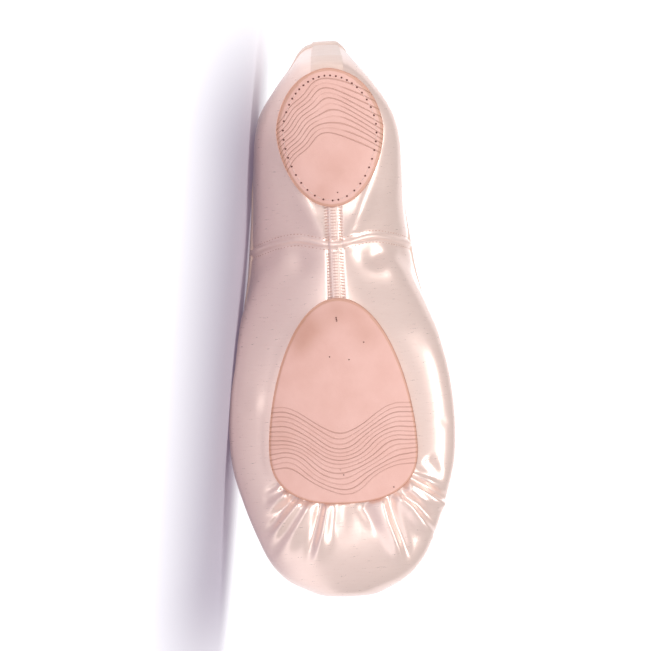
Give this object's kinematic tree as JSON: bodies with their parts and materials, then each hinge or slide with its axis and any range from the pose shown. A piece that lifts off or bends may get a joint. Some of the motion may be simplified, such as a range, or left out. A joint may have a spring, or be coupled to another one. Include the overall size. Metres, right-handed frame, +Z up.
{
  "type": "pointe shoe",
  "caption": "Empty satin pointe shoe with a split leather sole, a stiffened toe box and a bound collar, lying on its side.",
  "frame": {"origin": "on the floor, under the centre of the box that holds the lying shoe", "axes": "+X towards the toe, -Y out of the soles' treads, +Z up, out of the shoe's right side"},
  "size_m": [0.2412, 0.0628, 0.0976],
  "materials": {
    "satin": "glossy pale pink satin",
    "sole_leather": "smooth pinkish tan leather, scored with wave grooves",
    "insole_cotton": "plain cotton sock lining",
    "binding_cotton": "matt cotton tape",
    "heel_tape_cotton": "matt ribbed tape",
    "seam_satin": "stitched satin seam"
  },
  "bodies": {
    "root": {"upper": "satin", "forefoot_sole": "sole_leather", "heel_sole": "sole_leather", "insole": "insole_cotton", "collar_binding": "binding_cotton", "heel_tape": "heel_tape_cotton", "arch_seam": "seam_satin", "centre_seam_rear": "seam_satin", "centre_seam_front": "seam_satin"}
  },
  "joints": []
}
